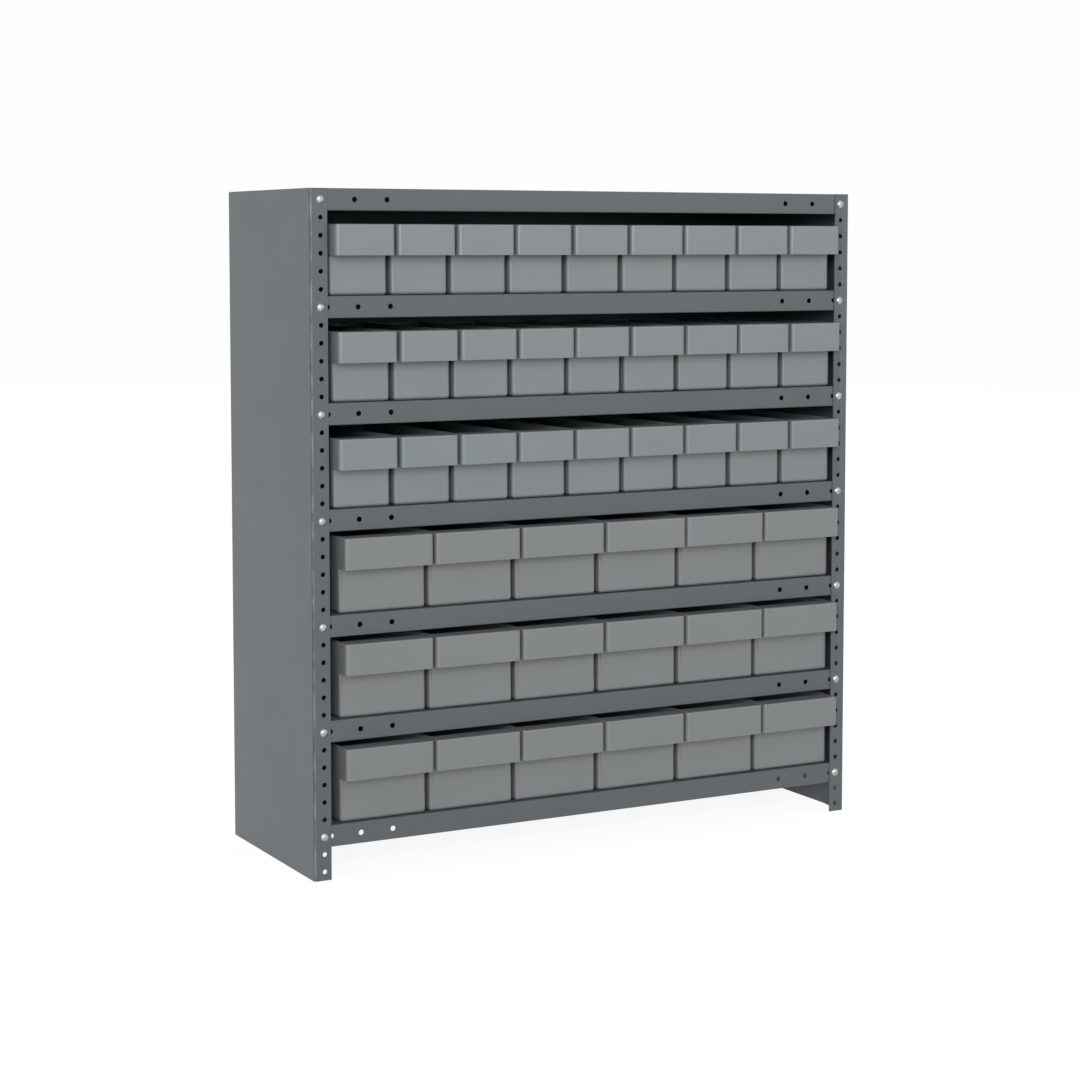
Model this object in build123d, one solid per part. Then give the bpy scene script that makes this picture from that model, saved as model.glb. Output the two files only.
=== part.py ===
from build123d import *
from dataclasses import dataclass
import os

# Bin shelving unit: a closed steel rack of seven box shelves, bolted at every sixth hole to four
# perforated angle posts, with side panels and a back panel. Three rows of nine small bins stand
# over three rows of six large bins, and every bin pulls out to the front.
# Millimetres. X runs across the front, Y from the front to the back and Z up from the floor.
# The origin is on the floor, under the middle of the whole unit with its bins pushed home.

# Overall sizes
UNIT_WIDTH = 927.0  # over both side panels
UNIT_DEPTH = 318.0  # front face of the front posts to back face of the rear posts
SMALL_ROWS = 3  # rows of small bins, at the top
LARGE_ROWS = 3  # rows of large bins, below them

# Post holes and the shelves' places on them
HOLE_PITCH = 25.4  # from one post hole to the next
FIRST_HOLE = 12.7  # floor to the lowest post hole
BOTTOM_BOLT = 2  # post hole that the bottom shelf is bolted at, the lowest being 0
HOLES_PER_ROW = 6  # post holes from one shelf to the next
HOLE_DIAMETER = 7.1  # post and bolt holes
FLANGE_HOLE_DIAMETER = 7.9  # free holes in the shelves' flanges
HOLE_INSET = 16.5  # outside of the side panel to the column of post holes
HOLE_SIDES = 6  # the many punched holes are drawn with this many flats, to keep them light
ANCHOR_HOLES = 2  # lowest holes of each front post, drawn round: a floor bracket bolts on there

# Steel sheet
POST_SHEET = 1.9
SHELF_SHEET = 0.9
PANEL_SHEET = 0.8

# Angle posts
POST_FACE_LEG = 26.0  # width of the leg that faces the front or the back
POST_SIDE_LEG = 45.0  # width of the leg behind the side panel
POST_FOLD = 2.0  # bevel of the fold, on the sheet's middle line

# Shelves
FLANGE_HEIGHT = 31.75
SHELF_RETURN = 11.0  # inward lip under the front and rear flanges
SHELF_FOLD = 1.4  # bevel of the fold from the deck to a front or rear flange, as on the posts
SHELF_FIT = 0.3  # end of a shelf to the inside of the post's fold
CORNER_RELIEF = 3.0  # slot between an end flange and the front or rear flange
LAP_HOLE_STEP = 11.2  # bolt hole to the hole that the post's edge half covers
FLANGE_HOLE_STEP = 58.0  # bolt hole to the first free hole in the flange
TOP_FLANGE_HOLE_STEP = 53.3  # the same on the top shelf, which has no half-covered hole
FLANGE_HOLE_PITCH = 50.8

# Bolts and nuts
BOLT_DIAMETER = 6.35
BOLT_LENGTH = 12.7  # under the head
HEAD_DIAMETER = 12.3
HEAD_HEIGHT = 3.3
HEAD_CROWN = 6.0  # flat top of the head
HEAD_SIDES = 8
NUT_FLATS = 11.1
NUT_HEIGHT = 5.5
THREAD_CLEARANCE = 0.1  # bolt to nut, each side

# Bins, common sizes
BIN_WALL = 2.0
BIN_CORNER = 5.0  # bevel of the upright corners
HOOD_PROUD = 20.3  # front of the hood ahead of the front posts
HOOD_DEPTH = 28.0  # front of the hood ahead of the bin's lower front
HOOD_OVERLAP = 12.0  # length of the hood's cheeks along the bin's sides
HOOD_CHEEK = 1.2  # hood wider than the body, each side
BIN_REST = 0.3  # shelf to the underside of a bin
BIN_BACK_GAP = 3.0  # rear of a bin to the back panel
ROW_SHIFTS = (0.0, 3.8, 3.8, 7.9, 7.9, 7.9)  # each row to the right of the middle, as in the photo

# Bins, each kind
SMALL_COLUMNS = 9
SMALL_PLAY = 10.2  # width between the front posts that a row of small bins leaves free
SMALL_GAP = 4.4  # between the hoods of neighbours
SMALL_HEIGHT = 101.6
SMALL_HOOD_HEIGHT = 44.5
LARGE_COLUMNS = 6
LARGE_PLAY = 18.2
LARGE_GAP = 3.4
LARGE_HEIGHT = 112.0
LARGE_HOOD_HEIGHT = 46.0

# Worked out from the sizes above
ROWS = SMALL_ROWS + LARGE_ROWS
BOLT_LEVELS = [FIRST_HOLE + HOLE_PITCH * (BOTTOM_BOLT + HOLES_PER_ROW * i) for i in range(ROWS + 1)]
POST_HEIGHT = BOLT_LEVELS[-1] + FLANGE_HEIGHT / 2
POST_HOLES = BOTTOM_BOLT + HOLES_PER_ROW * ROWS + 1
FRONT_REACH = max(HOOD_PROUD, HEAD_HEIGHT)
FRONT = FRONT_REACH - (FRONT_REACH + UNIT_DEPTH + HEAD_HEIGHT) / 2  # front face of the front posts
BACK = FRONT + UNIT_DEPTH  # back face of the rear posts
POST_SIDE = UNIT_WIDTH / 2 - PANEL_SHEET  # outer face of the post's side leg
HOLE_COLUMN = UNIT_WIDTH / 2 - HOLE_INSET
FOLD_OUTSIDE = POST_SHEET / 2 + POST_FOLD  # outer face of one leg to the flat of the other
FOLD_INSIDE = POST_SHEET + POST_FOLD  # the same, to clear the inside of the fold as well
SHELF_WIDTH = 2 * (POST_SIDE - FOLD_INSIDE - SHELF_FIT)
SHELF_FRONT = FRONT + POST_SHEET
SHELF_BACK = BACK - POST_SHEET - PANEL_SHEET
SHELF_DEPTH = SHELF_BACK - SHELF_FRONT
BIN_BAY = 2 * (POST_SIDE - POST_FACE_LEG)  # clear width between the front posts
BODY_FRONT = FRONT - HOOD_PROUD + HOOD_DEPTH
BODY_LENGTH = SHELF_BACK - BIN_BACK_GAP - BODY_FRONT


@dataclass(frozen=True)
class BinKind:
    """One kind of bin: how many fill a row, the row's free width and gaps, and its heights."""

    name: str
    columns: int
    play: float
    gap: float
    height: float
    hood_height: float

    @property
    def pitch(self) -> float:
        return (BIN_BAY - self.play + self.gap) / self.columns

    @property
    def hood_width(self) -> float:
        return self.pitch - self.gap

    @property
    def body_width(self) -> float:
        return self.hood_width - 2 * HOOD_CHEEK


SMALL = BinKind(
    "small", SMALL_COLUMNS, SMALL_PLAY, SMALL_GAP, SMALL_HEIGHT, SMALL_HOOD_HEIGHT
)
LARGE = BinKind(
    "large", LARGE_COLUMNS, LARGE_PLAY, LARGE_GAP, LARGE_HEIGHT, LARGE_HOOD_HEIGHT
)


def folded_sheet(points, thickness, fold):
    """Section of a folded sheet with its middle line along the points, each corner bevelled."""
    corners = [Vector(*point) for point in points]
    path = [corners[0]]
    for before, corner, after in zip(corners, corners[1:], corners[2:]):
        path += [corner + (end - corner).normalized() * fold for end in (before, after)]
    path.append(corners[-1])
    return trace(Polyline(*path), line_width=thickness)


def cutters_along_y(outline, places, face, sheet):
    """Cutters through a sheet whose front face is at Y face, one at each X and Z of places."""
    cutter = extrude(Plane.XZ * outline, amount=1.5 * sheet, both=True)
    return [Pos(x, face + sheet / 2, z) * cutter for x, z in places]


def punched_holes(places, face, sheet, diameter=HOLE_DIAMETER):
    """Cutters for punched holes, as wide across their flats as the round hole."""
    outline = RegularPolygon(diameter / 2, HOLE_SIDES, major_radius=False)
    return cutters_along_y(outline, places, face, sheet)


def left_to_right(part):
    """The mirrored piece on the other side of the unit."""
    return mirror(part, about=Plane.YZ)


def front_to_back(part):
    """The mirrored piece on the other face of the posts' rectangle."""
    middle = Plane.XZ.offset(-(FRONT + BACK) / 2)
    return mirror(part, about=middle)


def make_post(round_holes):
    """Front left angle post with its column of holes, so many of them round from the floor up."""
    half = POST_SHEET / 2
    outer = -POST_SIDE
    section = folded_sheet(
        [
            (outer + POST_FACE_LEG, FRONT + half),
            (outer + half, FRONT + half),
            (outer + half, FRONT + POST_SIDE_LEG),
        ],
        POST_SHEET,
        POST_FOLD,
    )
    post = extrude(section, amount=POST_HEIGHT)
    places = [(-HOLE_COLUMN, FIRST_HOLE + HOLE_PITCH * i) for i in range(POST_HOLES)]
    if round_holes:
        post -= cutters_along_y(
            Circle(HOLE_DIAMETER / 2), places[:round_holes], FRONT, POST_SHEET
        )
    return post - punched_holes(places[round_holes:], FRONT, POST_SHEET)


def make_side_panel():
    """Left side panel, flat on the side legs and as tall as the posts, between their folds."""
    length = UNIT_DEPTH - 2 * FOLD_OUTSIDE
    centre = Pos(-POST_SIDE - PANEL_SHEET / 2, (FRONT + BACK) / 2, POST_HEIGHT / 2)
    return centre * Box(PANEL_SHEET, length, POST_HEIGHT)


def make_back_panel():
    """Back panel, held between the rear posts and the rear flanges by the rear bolts."""
    centre = Pos(0, SHELF_BACK + PANEL_SHEET / 2, POST_HEIGHT / 2)
    panel = centre * Box(SHELF_WIDTH, PANEL_SHEET, POST_HEIGHT)
    places = [(side * HOLE_COLUMN, z) for side in (-1, 1) for z in BOLT_LEVELS]
    return panel - punched_holes(places, SHELF_BACK, PANEL_SHEET)


def flange_places(steps):
    """X and Z of the flange holes, so many steps inward of each bolt, the deck's top face at Z 0."""
    return [(side * (HOLE_COLUMN - step), -FLANGE_HEIGHT / 2) for side in (-1, 1) for step in steps]


def flange_holes(top):
    """Cutters for the bolt holes and the free holes of a shelf's front and rear flanges."""
    first_free = TOP_FLANGE_HOLE_STEP if top else FLANGE_HOLE_STEP
    front_bolts = flange_places([0] if top else [0, LAP_HOLE_STEP])
    front_free = flange_places([first_free, first_free + FLANGE_HOLE_PITCH])
    rear_face = SHELF_BACK - SHELF_SHEET
    return (
        punched_holes(front_bolts, SHELF_FRONT, SHELF_SHEET)
        + punched_holes(front_free, SHELF_FRONT, SHELF_SHEET, FLANGE_HOLE_DIAMETER)
        + punched_holes(flange_places([0]), rear_face, SHELF_SHEET)
        + punched_holes(flange_places([first_free]), rear_face, SHELF_SHEET, FLANGE_HOLE_DIAMETER)
    )


def make_shelf(top):
    """A shelf with its deck's top face at Z 0: a folded tray with return lips front and rear."""
    half = SHELF_SHEET / 2
    section = folded_sheet(
        [
            (SHELF_FRONT + half, -FLANGE_HEIGHT),
            (SHELF_FRONT + half, -half),
            (SHELF_BACK - half, -half),
            (SHELF_BACK - half, -FLANGE_HEIGHT),
        ],
        SHELF_SHEET,
        SHELF_FOLD,
    )
    lip = Rectangle(SHELF_RETURN, SHELF_SHEET)
    section += Pos(SHELF_FRONT + SHELF_RETURN / 2, half - FLANGE_HEIGHT) * lip
    section += Pos(SHELF_BACK - SHELF_RETURN / 2, half - FLANGE_HEIGHT) * lip
    shelf = extrude(Plane.YZ * section, amount=SHELF_WIDTH / 2, both=True)
    end_length = SHELF_DEPTH - 2 * (SHELF_SHEET + CORNER_RELIEF)
    end_flange = Pos(
        half - SHELF_WIDTH / 2, (SHELF_FRONT + SHELF_BACK) / 2, -FLANGE_HEIGHT / 2
    ) * Box(SHELF_SHEET, end_length, FLANGE_HEIGHT)
    shelf += [end_flange, left_to_right(end_flange)]
    return shelf - flange_holes(top)


def make_bolt():
    """Front bolt with the seat of its low head at the origin and its shank along +Y."""
    seat = RegularPolygon(HEAD_DIAMETER / 2, HEAD_SIDES)
    crown = RegularPolygon(HEAD_CROWN / 2, HEAD_SIDES)
    head = loft([Plane.XZ * seat, Plane.XZ.offset(HEAD_HEIGHT) * crown], ruled=True)
    shank = RegularPolygon(BOLT_DIAMETER / 2, HOLE_SIDES, major_radius=False)
    return head + extrude(Plane.XZ * shank, amount=-BOLT_LENGTH)


def make_nut():
    """Hexagon nut with its seat at the origin, on the +Y side."""
    bore = RegularPolygon(BOLT_DIAMETER / 2 + THREAD_CLEARANCE, HOLE_SIDES, major_radius=False)
    section = RegularPolygon(NUT_FLATS / 2, 6, major_radius=False) - bore
    return extrude(Plane.XZ * section, amount=-NUT_HEIGHT)


def at_each_bolt(part, front_seat, rear_seat):
    """Copies of a front fastener at every corner of every shelf, turned round at the rear."""
    turned = Rot(0, 0, 180) * part
    columns = (-HOLE_COLUMN, HOLE_COLUMN)
    front = [Pos(x, front_seat, z) * part for x in columns for z in BOLT_LEVELS]
    rear = [Pos(x, rear_seat, z) * turned for x in columns for z in BOLT_LEVELS]
    return Compound(children=front + rear)


def bevelled_block(width, length, height):
    """A block with its front at Y 0 and its foot at Z 0, its two front corners bevelled."""
    side = width / 2
    right = [(side - BIN_CORNER, 0), (side, BIN_CORNER), (side, length)]
    left = [(-x, y) for x, y in reversed(right)]
    return extrude(make_face(Polyline(*right, *left, close=True)), amount=height)


def make_bin(kind):
    """A bin with the foot of its front wall at the origin: an open box, with a stepped-out hood
    over the top of that wall. The hood is closed on top and hollow from below, as a pull."""
    hood_foot = kind.height - kind.hood_height
    body = bevelled_block(kind.body_width, BODY_LENGTH, kind.height)
    hood = bevelled_block(kind.hood_width, HOOD_DEPTH + HOOD_OVERLAP, kind.hood_height)
    shell = body + Pos(0, -HOOD_DEPTH, hood_foot) * hood
    inner_width = kind.body_width - 2 * BIN_WALL
    foot = (Align.CENTER, Align.MIN, Align.MIN)
    pocket = Box(inner_width, BODY_LENGTH - 2 * BIN_WALL, kind.height, align=foot)
    pull = Box(inner_width, HOOD_DEPTH - BIN_WALL, kind.hood_height - BIN_WALL, align=foot)
    shell -= Pos(0, BIN_WALL, BIN_WALL) * pocket
    shell -= Pos(0, BIN_WALL - HOOD_DEPTH, hood_foot) * pull
    return shell


def bin_nodes(kind, first_row, rows):
    """Every bin of one kind by name, rows counted from the top and columns from the left."""
    shape = make_bin(kind)
    nodes = {}
    for row in range(first_row, first_row + rows):
        foot = BOLT_LEVELS[ROWS - row] + FLANGE_HEIGHT / 2 + BIN_REST
        for column in range(1, kind.columns + 1):
            x = ROW_SHIFTS[row - 1] + kind.pitch * (column - (kind.columns + 1) / 2)
            nodes[f"bin_{kind.name}_r{row}_c{column}"] = Pos(x, BODY_FRONT, foot) * shape
    return nodes


def shelf_nodes():
    """The shelves by name, number 1 at the top."""
    top_shelf = make_shelf(top=True)
    shelf = make_shelf(top=False)
    nodes = {}
    for number, level in enumerate(reversed(BOLT_LEVELS), start=1):
        shape = top_shelf if number == 1 else shelf
        nodes[f"shelf_{number}"] = Pos(0, 0, level + FLANGE_HEIGHT / 2) * shape
    return nodes


def frame_nodes():
    """Posts, panels and fasteners by name."""
    post = make_post(round_holes=ANCHOR_HOLES)
    rear_post = front_to_back(make_post(round_holes=0))
    side_panel = make_side_panel()
    return {
        "post_front_left": post,
        "post_front_right": left_to_right(post),
        "rear_posts": Compound(children=[rear_post, left_to_right(rear_post)]),
        "side_panel_left": side_panel,
        "side_panel_right": left_to_right(side_panel),
        "back_panel": make_back_panel(),
        "shelf_bolts": at_each_bolt(make_bolt(), FRONT, BACK),
        "shelf_nuts": at_each_bolt(
            make_nut(), SHELF_FRONT + SHELF_SHEET, SHELF_BACK - SHELF_SHEET
        ),
    }


def main():
    os.makedirs("parts", exist_ok=True)
    nodes = frame_nodes()
    nodes.update(shelf_nodes())
    nodes.update(bin_nodes(SMALL, 1, SMALL_ROWS))
    nodes.update(bin_nodes(LARGE, 1 + SMALL_ROWS, LARGE_ROWS))
    for name, shape in nodes.items():
        export_step(shape, f"parts/{name}.step")
    print(len(nodes), "nodes")


main()
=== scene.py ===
"""Bin shelving unit: the finished pieces, their materials and the studio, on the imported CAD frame."""
import sys

import logging
import math
import random
from contextlib import contextmanager
from dataclasses import dataclass, field
from enum import Enum
from typing import Any, Callable, Iterator, Sequence

import bmesh
import bpy
from mathutils import Matrix, Vector


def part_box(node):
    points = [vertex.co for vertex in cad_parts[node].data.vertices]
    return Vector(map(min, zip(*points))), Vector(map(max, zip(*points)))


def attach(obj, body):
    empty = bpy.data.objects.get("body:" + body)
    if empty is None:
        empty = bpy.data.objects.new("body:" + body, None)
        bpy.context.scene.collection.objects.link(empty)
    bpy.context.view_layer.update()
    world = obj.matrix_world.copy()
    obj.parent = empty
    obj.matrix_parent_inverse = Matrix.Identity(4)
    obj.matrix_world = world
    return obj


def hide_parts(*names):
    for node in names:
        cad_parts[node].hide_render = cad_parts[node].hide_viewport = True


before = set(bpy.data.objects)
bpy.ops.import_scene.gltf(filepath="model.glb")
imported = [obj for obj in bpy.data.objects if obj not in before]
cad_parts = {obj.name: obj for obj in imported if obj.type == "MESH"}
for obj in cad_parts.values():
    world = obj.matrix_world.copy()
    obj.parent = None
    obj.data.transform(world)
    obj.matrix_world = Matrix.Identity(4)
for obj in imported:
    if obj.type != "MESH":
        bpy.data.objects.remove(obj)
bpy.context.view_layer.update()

MM = 0.001
SAME = 0.02  # mm, within which two lengths count as one
WELD = 0.01  # mm, within which the points of a sheet are merged
FACING = 0.9  # least cosine between a face's normal and the axis that it looks along
SMOOTH_ANGLE = 50.0  # degrees, above which an edge stays sharp
FLAT_WEIGHT = 80  # how strongly large flat faces hold the shading
WEAR_AND_HIGHLIGHT = "wear_and_highlight"  # face attribute: 0 on plain faces, 1 on softened edges, which get wear and a painted highlight, more on the post's fold, where it paints the bend's highlight
SHELVES = tuple(f"shelf_{number}" for number in range(1, 8))  # their CAD nodes, from the top
log = logging.getLogger("bin_shelving")


class Slot(Enum):
    """Material slots of the record."""

    PAINTED_STEEL = "painted_steel"
    ZINC_PLATE = "zinc_plated_steel"
    BIN_PLASTIC = "bin_plastic"


class Side(Enum):
    """Left and right half of the unit, by the sign of X."""

    LEFT = -1
    RIGHT = 1


class BinKind(Enum):
    """The two moulded bins, by their word in the CAD nodes."""

    SMALL = "small"
    LARGE = "large"


class Axis(Enum):
    """The three directions, by their place in a vector."""

    X = 0
    Y = 1
    Z = 2

    def vector(self) -> Vector:
        """The direction at length 1."""
        return Vector([float(axis is self) for axis in Axis])


class Carving(Enum):
    """What cutters do to a piece, by the name of the boolean's operation."""

    CUT = "DIFFERENCE"
    ADD = "UNION"
    KEEP = "INTERSECT"


# Modelling by hand, in millimetres


def focus(piece: bpy.types.Object) -> None:
    """Leave only one object selected, and make it the active one.

    Args:
        piece: the object.
    """
    bpy.ops.object.select_all(action="DESELECT")
    piece.select_set(True)
    bpy.context.view_layer.objects.active = piece


def freeze(piece: bpy.types.Object) -> None:
    """Put a piece's place, turn and size into its mesh."""
    focus(piece)
    bpy.ops.object.transform_apply(location=True, rotation=True, scale=True)


@contextmanager
def editing(piece: bpy.types.Object) -> Iterator[None]:
    """Hold one object in edit mode, with nothing selected at the start.

    Args:
        piece: the mesh object to edit.
    """
    focus(piece)
    bpy.ops.object.mode_set(mode="EDIT")
    bpy.ops.mesh.select_all(action="DESELECT")
    yield
    bpy.ops.object.mode_set(mode="OBJECT")


def near(value: float, target: float) -> bool:
    """Whether two lengths in millimetres are the same."""
    return abs(value - target) < SAME


def pick(mode: str, test: Callable[[Any], bool]) -> None:
    """Select faces or edges of the object in edit mode.

    Args:
        mode: FACE or EDGE.
        test: says yes to a face or an edge.
    """
    bpy.ops.mesh.select_mode(type=mode)
    bpy.ops.mesh.select_all(action="DESELECT")
    mesh = bpy.context.object.data
    shape = bmesh.from_edit_mesh(mesh)
    for part in shape.faces if mode == "FACE" else shape.edges:
        if test(part):
            part.select_set(True)
    bmesh.update_edit_mesh(mesh)


def pick_faces(test: Callable[[Vector, Vector], bool]) -> None:
    """Select faces by a test of their centre in millimetres and their normal."""
    pick("FACE", lambda face: test(face.calc_center_median() / MM, face.normal))


def pick_edges(test: Callable[[Vector, Vector], bool]) -> None:
    """Select edges by a test of their two ends in millimetres."""
    pick("EDGE", lambda edge: test(edge.verts[0].co / MM, edge.verts[1].co / MM))


def pull(x: float = 0.0, y: float = 0.0, z: float = 0.0) -> None:
    """Extrude what is selected and move it by these millimetres."""
    bpy.ops.mesh.extrude_region_move(TRANSFORM_OT_translate={"value": (x * MM, y * MM, z * MM)})


def slice_across(axis: Axis, place: float) -> None:
    """Cut new edges all round the object in edit mode.

    Args:
        axis: the axis that the cut is square to.
        place: where the cut crosses that axis, in millimetres.
    """
    normal = axis.vector()
    bpy.ops.mesh.select_all(action="SELECT")
    bpy.ops.mesh.bisect(plane_co=normal * place * MM, plane_no=normal)


def round_edges(radius: float, segments: int) -> None:
    """Round the edges that are selected in edit mode."""
    bpy.ops.mesh.bevel(offset=radius * MM, segments=segments, affect="EDGES")


def settle(name: str, scale: Matrix | None = None) -> bpy.types.Object:
    """Name the new primitive and put its place into its mesh.

    Args:
        name: the object's name.
        scale: what its mesh is first sized by.

    Returns:
        The primitive, at the origin, unturned and unscaled.
    """
    piece = bpy.context.object
    piece.name = piece.data.name = name
    if scale is not None:
        piece.data.transform(scale)
    freeze(piece)
    return piece


def add_block(name: str, low: Sequence[float], high: Sequence[float]) -> bpy.types.Object:
    """Add a block between two corners in millimetres, to be shaped into a piece.

    Args:
        name: the object's name.
        low: the lowest corner.
        high: the highest corner.

    Returns:
        The block, with its place and size in its mesh.
    """
    sizes = [(b - a) * MM for a, b in zip(low, high)]
    middle = [(a + b) / 2 * MM for a, b in zip(low, high)]
    bpy.ops.mesh.primitive_cube_add(size=1, location=middle)
    return settle(name, Matrix.Diagonal(sizes).to_4x4())


def add_sheet(name: str, low: Sequence[float], high: Sequence[float]) -> bpy.types.Object:
    """Add a flat rectangle between two corners that share one coordinate.

    Args:
        name: the object's name.
        low: the lowest corner, in millimetres.
        high: the highest corner, in millimetres.

    Returns:
        The rectangle, with its place and size in its mesh.
    """
    flat = next(i for i, (a, b) in enumerate(zip(low, high)) if near(a, b))
    top = list(high)
    top[flat] += 1.0  # the block is 1 mm thick, and one of its faces is kept
    sheet = add_block(name, low, top)
    with editing(sheet):
        pick_faces(lambda centre, normal: not near(centre[flat], low[flat]))
        bpy.ops.mesh.delete(type="FACE")
    return sheet


def add_bar(name: str, radius: float, length: float, place: Sequence[float], axis: Axis,
            sides: int) -> bpy.types.Object:
    """Add a round bar.

    Args:
        name: the object's name.
        radius: its radius in millimetres.
        length: its length in millimetres.
        place: its middle in millimetres.
        axis: X or Y, the way that it runs.
        sides: its number of sides.

    Returns:
        The bar, with its place and size in its mesh.
    """
    turn = (0.0, math.pi / 2, 0.0) if axis is Axis.X else (math.pi / 2, 0.0, 0.0)
    bpy.ops.mesh.primitive_cylinder_add(
        vertices=sides, radius=radius * MM, depth=length * MM, location=Vector(place) * MM, rotation=turn
    )
    return settle(name)


def apply_modifier(piece: bpy.types.Object, kind: str, **settings: Any) -> None:
    """Add one modifier and apply it.

    Args:
        piece: the object that it shapes.
        kind: the modifier's type.
        **settings: the modifier's own settings.
    """
    focus(piece)
    modifier = piece.modifiers.new(kind.title(), kind)
    for name, value in settings.items():
        setattr(modifier, name, value)
    bpy.ops.object.modifier_apply(modifier=modifier.name)


def face_outwards(piece: bpy.types.Object, way: Sequence[float]) -> None:
    """Make the faces agree, and turn them all so that most of the surface looks one way.

    Args:
        piece: an open sheet.
        way: a direction away from the outside of the sheet.
    """
    with editing(piece):
        bpy.ops.mesh.select_all(action="SELECT")
        bpy.ops.mesh.remove_doubles(threshold=WELD * MM)
        bpy.ops.mesh.normals_make_consistent(inside=False)
        faces = bmesh.from_edit_mesh(piece.data).faces
        if sum(face.normal.dot(Vector(way)) * face.calc_area() for face in faces) < 0:
            bpy.ops.mesh.flip_normals()


def thicken(piece: bpy.types.Object, sheet: float) -> None:
    """Give a sheet or shell its wall, inward from the outside."""
    apply_modifier(piece, "SOLIDIFY", thickness=sheet * MM, offset=-1.0, use_even_offset=True)


def join(pieces: Sequence[bpy.types.Object], name: str) -> bpy.types.Object:
    """Join objects into the first of them.

    Args:
        pieces: the objects, all of them used up.
        name: the joined object's name.

    Returns:
        The joined object.
    """
    focus(pieces[0])
    for piece in pieces:
        piece.select_set(True)
    bpy.ops.object.join()
    pieces[0].name = pieces[0].data.name = name
    return pieces[0]


def carve(piece: bpy.types.Object, cutters: Sequence[bpy.types.Object],
          carving: Carving = Carving.CUT) -> None:
    """Combine a piece with cutters, and remove them.

    Args:
        piece: the closed solid that is cut.
        cutters: closed solids.
        carving: what they do to it.
    """
    cutter = join(cutters, f"{piece.name}_cutter")
    apply_modifier(piece, "BOOLEAN", operation=carving.value, solver="MANIFOLD", object=cutter)
    bpy.data.objects.remove(cutter)


def soften(piece: bpy.types.Object, radius: float, segments: int = 2, sharp: float = 35.0) -> None:
    """Round every sharp edge slightly, mark the rounded faces for edge wear and a painted edge
    highlight, and shade the piece.

    Args:
        piece: a closed solid.
        radius: the rounding in millimetres.
        segments: faces across it.
        sharp: the least angle of an edge that is rounded, in degrees.
    """
    piece.data.materials.clear()
    piece.data.materials.append(None)
    piece.data.materials.append(None)
    apply_modifier(
        piece, "BEVEL", width=radius * MM, segments=segments, limit_method="ANGLE",
        angle_limit=math.radians(sharp), material=1, miter_outer="MITER_ARC", use_clamp_overlap=True,
    )
    # The rounded faces are later painted lighter: partly wear, partly a painted highlight along the
    # edges.
    wear_and_highlight = piece.data.attributes.new(WEAR_AND_HIGHLIGHT, "FLOAT", "FACE")
    wear_and_highlight.data.foreach_set("value", [float(face.material_index == 1) for face in piece.data.polygons])
    piece.data.polygons.foreach_set("material_index", [0] * len(piece.data.polygons))
    piece.data.materials.clear()
    shade(piece)


def shade(piece: bpy.types.Object) -> None:
    """Shade a piece smooth, apart from its sharp edges, with its flat faces kept flat.

    Args:
        piece: a finished mesh.
    """
    focus(piece)
    bpy.ops.object.shade_smooth_by_angle(angle=math.radians(SMOOTH_ANGLE))
    apply_modifier(piece, "WEIGHTED_NORMAL", keep_sharp=True, weight=FLAT_WEIGHT)


def copy_to(piece: bpy.types.Object, name: str, move: Sequence[float] = (0, 0, 0),
            turn: Matrix | None = None) -> bpy.types.Object:
    """Copy a piece with a mesh of its own.

    Args:
        piece: the piece.
        name: the copy's name.
        move: how far the copy is moved, in millimetres.
        turn: how it is first turned about the origin.

    Returns:
        The copy, its place in its mesh.
    """
    twin = bpy.data.objects.new(name, piece.data.copy())
    twin.data.name = name
    bpy.context.scene.collection.objects.link(twin)
    place = Matrix.Translation(Vector(move) * MM)
    twin.matrix_world = place if turn is None else place @ turn
    freeze(twin)
    return twin


def mirror_copy(piece: bpy.types.Object, name: str, axis: Axis, plane: float) -> bpy.types.Object:
    """Copy a piece to the other side of a plane.

    Args:
        piece: the piece.
        name: the copy's name.
        axis: the axis that the plane is square to.
        plane: where the plane crosses it, in millimetres.

    Returns:
        The mirrored copy, its faces pointing outwards.
    """
    twin = copy_to(piece, name)
    across = axis.vector()
    twin.scale = Vector((1.0, 1.0, 1.0)) - 2 * across
    twin.location = across * (2 * plane * MM)
    freeze(twin)
    with editing(twin):
        bpy.ops.mesh.select_all(action="SELECT")
        bpy.ops.mesh.normals_make_consistent(inside=False)
    return twin


def cad_box(node: str) -> tuple[Vector, Vector]:
    """Lowest and highest corner of a CAD node, in millimetres."""
    low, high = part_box(node)
    return low / MM, high / MM


def bolt_levels() -> list[float]:
    """Height of the bolts of every shelf, which is the middle of its flange, in millimetres."""
    return [(low.z + high.z) / 2 for low, high in map(cad_box, SHELVES)]


def hand_over(piece: bpy.types.Object, node: str, material: bpy.types.Material,
              body: str = "frame") -> None:
    """Dress a finished piece and put it in the place of its CAD node.

    Args:
        piece: the finished piece.
        node: the CAD node that it stands for.
        material: its material.
        body: the body that it rides on.
    """
    piece.data.materials.clear()
    piece.data.materials.append(material)
    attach(piece, body)
    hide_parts(node)
    log.info("%s: %d faces, on %s", piece.name, len(piece.data.polygons), body)


# Finishes

NOISE_RANGE = (0.3, 0.7)  # where most of a noise texture's values lie
PATCH_RANGE = (0.42, 0.62)  # a narrower part of it, for patches with short soft edges


def grey(level: float) -> tuple[float, float, float, float]:
    """A colour without a hue."""
    return level, level, level, 1.0


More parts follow.
